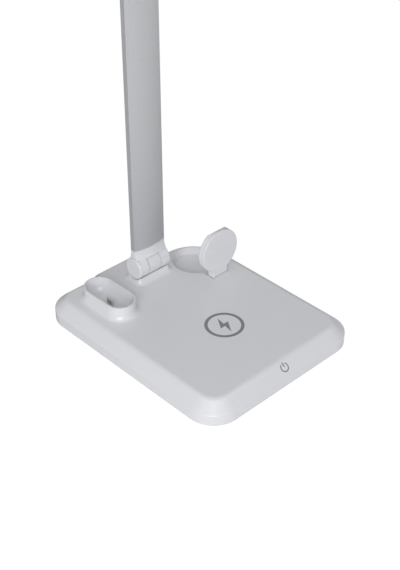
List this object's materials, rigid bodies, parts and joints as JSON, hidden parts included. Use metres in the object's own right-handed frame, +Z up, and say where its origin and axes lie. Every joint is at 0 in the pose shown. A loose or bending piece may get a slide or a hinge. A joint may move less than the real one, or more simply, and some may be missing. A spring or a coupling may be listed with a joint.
{
  "type": "desk lamp with charging base",
  "caption": "Desk lamp with folding flat arm and light bar on a slim charging base, with a phone plate, an earphone case cup and a fold-up watch puck.",
  "frame": {"origin": "centre of the base's non-slip pad, on the desk", "axes": "+X right seen from the front, +Y to the back, +Z up"},
  "size_m": [0.156, 0.3172, 0.3905],
  "materials": {
    "white_plastic": "satin moulded",
    "cover_plastic": "fine textured",
    "dark_plastic": "moulded",
    "silicone": "matt",
    "arm_aluminium": "satin anodised",
    "steel": "bright",
    "plate_steel": "zinc coated",
    "copper_coil": "enamelled copper",
    "ferrite": "sintered",
    "circuit_board": "solder mask",
    "component_black": "moulded",
    "led_phosphor": "potted",
    "opal_acrylic": "opal"
  },
  "bodies": {
    "base": {"base_top_shell": "white_plastic", "bottom_cover": "cover_plastic", "cover_screws": "steel", "non_slip_pad": "silicone", "ballast_plate": "plate_steel", "lamp_hinge_knuckle": "white_plastic", "bracket_screws": "steel", "phone_coil": "copper_coil", "phone_ferrite": "ferrite", "coil_tray": "cover_plastic", "main_board": "circuit_board", "board_components": "component_black", "touch_electrode": "copper_coil", "power_inlet": "steel", "earphone_plug": "steel", "earphone_plug_board": "circuit_board", "watch_hinge_pin": "steel"},
    "arm": {"arm_foot": "white_plastic", "arm_top_joint": "white_plastic", "arm_tube": "arm_aluminium", "arm_screws": "steel", "arm_cable": "dark_plastic", "lamp_hinge_shaft": "steel", "lamp_hinge_nut": "steel", "lamp_hinge_washers": "steel", "lamp_hinge_cap_left": "white_plastic", "lamp_hinge_cap_right": "white_plastic", "head_hinge_shaft": "steel", "head_hinge_nut": "steel", "head_hinge_washers": "steel", "head_hinge_cap_left": "white_plastic", "head_hinge_cap_right": "white_plastic"},
    "light_bar": {"bar_housing": "arm_aluminium", "bar_front_cap": "white_plastic", "bar_rear_cap": "white_plastic", "bar_diffuser": "opal_acrylic", "led_board": "circuit_board", "leds": "led_phosphor", "bar_knuckle": "white_plastic"},
    "watch_puck": {"watch_puck_face": "white_plastic", "watch_puck_back": "white_plastic", "watch_ferrite": "ferrite", "watch_coil": "copper_coil"}
  },
  "joints": [
    {"name": "arm_fold", "type": "hinge", "parent": "base", "child": "arm", "pos_m": [0.0047, 0.0634, 0.0296], "axis": [1, 0, 0], "range_deg": [-15, 80]},
    {"name": "bar_tilt", "type": "hinge", "parent": "arm", "child": "light_bar", "pos_m": [0.0047, 0.0634, 0.3696], "axis": [-1, 0, 0], "range_deg": [-90, 90]},
    {"name": "puck_fold", "type": "hinge", "parent": "base", "child": "watch_puck", "pos_m": [0.046, 0.0243, 0.0138], "axis": [-1, 0, 0], "range_deg": [0, 90]}
  ]
}
